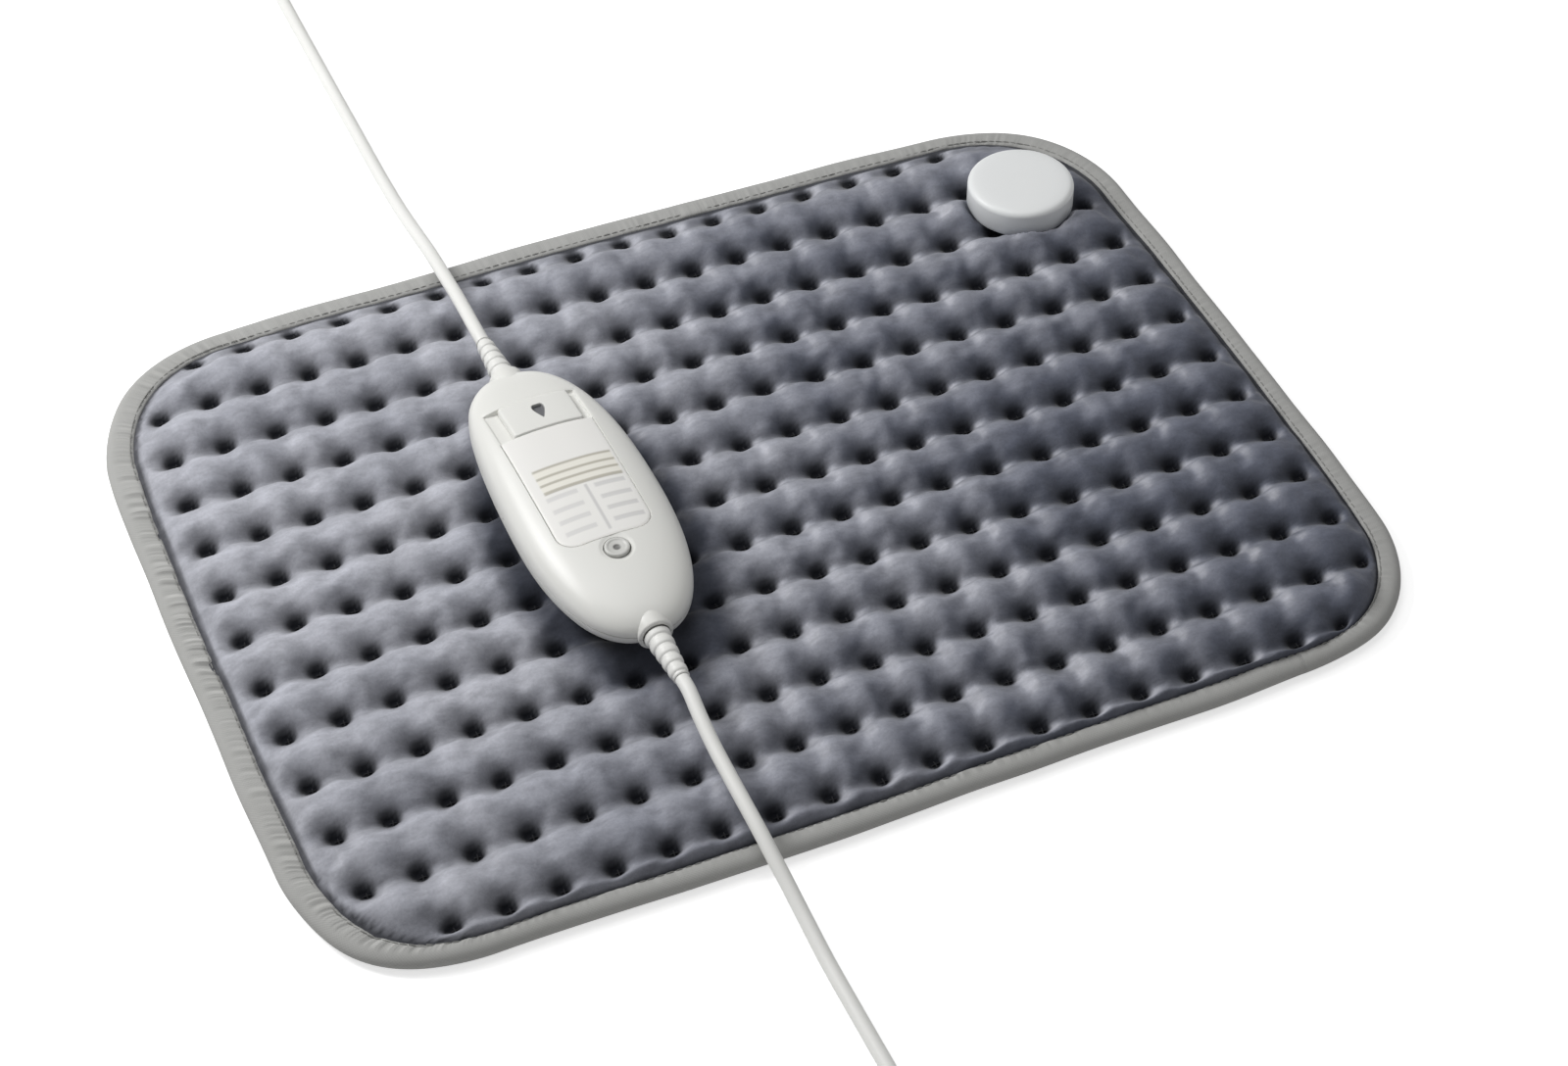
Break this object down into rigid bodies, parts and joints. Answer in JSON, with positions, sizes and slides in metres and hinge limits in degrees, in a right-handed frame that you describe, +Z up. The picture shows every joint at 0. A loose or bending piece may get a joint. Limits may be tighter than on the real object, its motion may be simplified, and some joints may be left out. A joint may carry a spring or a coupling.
{
  "type": "heating pad",
  "caption": "Quilted electric heating pad with a bound edge, a round socket housing on its corner and a hand switch with a slide switch and a push button in its lead",
  "frame": {"origin": "centre of the pad's underside, on the surface that the pad lies on", "axes": "+X along the pad's long side, towards the corner with the socket housing; +Y across the pad, towards that corner's far edge; +Z up"},
  "size_m": [0.4161, 0.7608, 0.0371],
  "materials": {
    "plush": "quilted microplush, matt",
    "backing": "brushed cloth, matt",
    "felt": "felt",
    "tape": "soft woven tape",
    "wire_coat": "wire insulation",
    "housing": "satin moulded",
    "socket_white": "satin moulded",
    "button": "satin moulded",
    "panel": "satin film",
    "cord": "soft cable sheath",
    "board": "circuit board lacquer",
    "component": "moulded black",
    "brass": "plain",
    "steel": "plain"
  },
  "bodies": {
    "pad": {"edge_binding": "tape", "back_cover": "backing", "wire_carrier_felt": "felt", "heating_wire": "wire_coat", "quilted_top_cover": "plush", "thermal_fuse": "component", "socket_cap": "socket_white", "socket_base": "socket_white", "socket_contact_block": "component", "socket_pin_1": "brass", "socket_pin_2": "brass", "socket_pin_3": "brass", "socket_rivet_1": "steel", "socket_rivet_2": "steel", "socket_rivet_3": "steel", "socket_rivet_4": "steel", "socket_backing_plate": "steel", "socket_lead_1": "wire_coat", "socket_lead_2": "wire_coat", "mains_lead_coil": "cord", "mains_coil_tie": "component", "pad_lead_coil": "cord", "pad_coil_tie": "component", "mains_lead": "cord", "pad_lead": "cord", "mains_plug_relief": "cord", "mains_plug_body": "cord", "mains_plug_pin_1": "brass", "mains_plug_pin_2": "brass", "mains_lead_tail": "cord", "pad_plug_relief": "cord", "pad_plug_body": "socket_white", "pad_lead_tail": "cord"},
    "controller": {"controller_upper_shell": "housing", "controller_lower_shell": "housing", "legend_panel": "panel", "slide_switch_body": "component", "key_switch_body": "component", "circuit_board": "board", "board_fuse": "brass", "thyristor": "component", "capacitor": "component", "control_chip": "component", "case_screw_1": "steel", "case_screw_2": "steel", "case_screw_3": "steel", "case_screw_4": "steel", "pad_strain_relief": "cord", "pad_core_live": "wire_coat", "pad_core_neutral": "wire_coat", "mains_strain_relief": "cord", "mains_core_live": "wire_coat", "mains_core_neutral": "wire_coat"},
    "slide_knob": {"slide_knob": "housing", "switch_slider": "component"},
    "push_button": {"push_button": "button", "key_switch_plunger": "component"}
  },
  "joints": [
    {"name": "controller_lift", "type": "slide", "parent": "pad", "child": "controller", "axis": [0, 0, 1], "range_m": [0, 0.06]},
    {"name": "knob_slide", "type": "slide", "parent": "controller", "child": "slide_knob", "axis": [0.9997, 0.0262, 0], "range_m": [-0.00467, 0.00233]},
    {"name": "button_press", "type": "slide", "parent": "controller", "child": "push_button", "axis": [0, 0, -1], "range_m": [0, 0.0008], "stiffness_N_per_m": 400}
  ]
}
